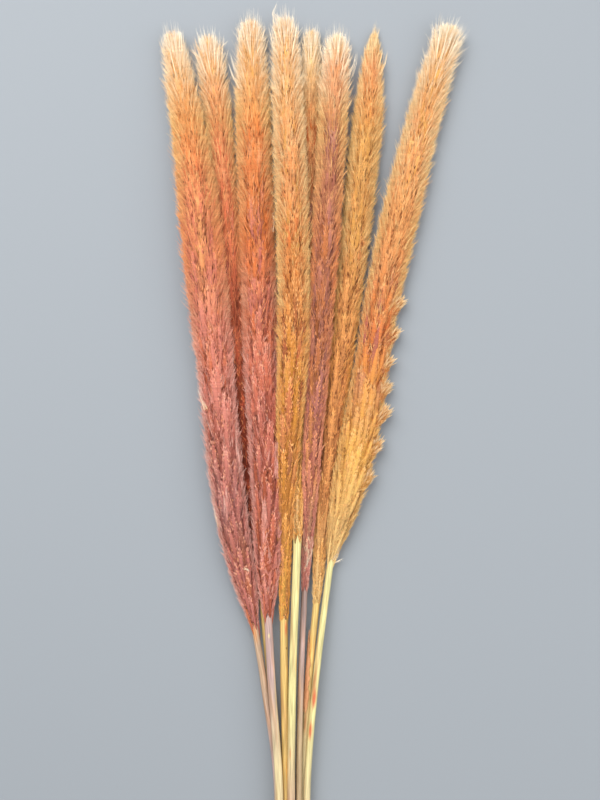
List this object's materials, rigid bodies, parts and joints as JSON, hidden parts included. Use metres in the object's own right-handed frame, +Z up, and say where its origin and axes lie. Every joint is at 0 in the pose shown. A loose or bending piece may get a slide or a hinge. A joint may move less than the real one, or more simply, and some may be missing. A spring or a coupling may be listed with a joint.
{
  "type": "bunch of reeds",
  "caption": "Loose bunch of dyed dried reeds lying flat, with long soft spindle-shaped plumes fanned out above thin straw stems.",
  "frame": {"origin": "middle of the bunch's box, on the surface that it lies on", "axes": "+Y along the bunch towards the plume tips, +Z up from the surface, +X to the right seen from above"},
  "size_m": [0.1506, 0.5536, 0.017],
  "materials": {
    "reed_1_plume": "soft dyed plume hairs, rose to golden peach, fully matt",
    "reed_2_plume": "soft dyed plume hairs, deep red-brown with a golden brush tip, fully matt",
    "reed_3_plume": "soft dyed plume hairs, terracotta rose with a golden middle, fully matt",
    "reed_4_plume": "soft dyed plume hairs, orange gold with a cream tip, fully matt",
    "reed_5_plume": "soft dyed plume hairs, orange brown, fully matt",
    "reed_6_plume": "soft dyed plume hairs, mauve brown with a cream tip, fully matt",
    "reed_7_plume": "soft dyed plume hairs, orange gold, fully matt",
    "reed_8_plume": "soft dyed plume hairs, peach to golden yellow, fully matt",
    "reed_1_stem": "dried straw-like stem with fine lengthwise lines, faint sheen",
    "reed_2_stem": "dried straw-like stem with fine lengthwise lines, faint sheen",
    "reed_3_stem": "dried straw-like stem with fine lengthwise lines, faint sheen",
    "reed_4_stem": "dried straw-like stem with fine lengthwise lines, faint sheen",
    "reed_5_stem": "dried straw-like stem with fine lengthwise lines, faint sheen",
    "reed_6_stem": "dried straw-like stem with fine lengthwise lines, faint sheen",
    "reed_7_stem": "dried straw-like stem with fine lengthwise lines, faint sheen",
    "reed_8_stem": "dried straw-like stem with fine lengthwise lines, faint sheen",
    "sheath": "dry papery leaf sheath, peach, matt"
  },
  "bodies": {
    "root": {"reed_1_plume": "reed_1_plume", "reed_2_plume": "reed_2_plume", "reed_3_plume": "reed_3_plume", "reed_4_plume": "reed_4_plume", "reed_5_plume": "reed_5_plume", "reed_6_plume": "reed_6_plume", "reed_7_plume": "reed_7_plume", "reed_8_plume": "reed_8_plume", "reed_1_stem": "reed_1_stem", "reed_2_stem": "reed_2_stem", "reed_3_stem": "reed_3_stem", "reed_4_stem": "reed_4_stem", "reed_5_stem": "reed_5_stem", "reed_6_stem": "reed_6_stem", "reed_7_stem": "reed_7_stem", "reed_8_stem": "reed_8_stem", "reed_7_sheath": "sheath"}
  },
  "joints": []
}
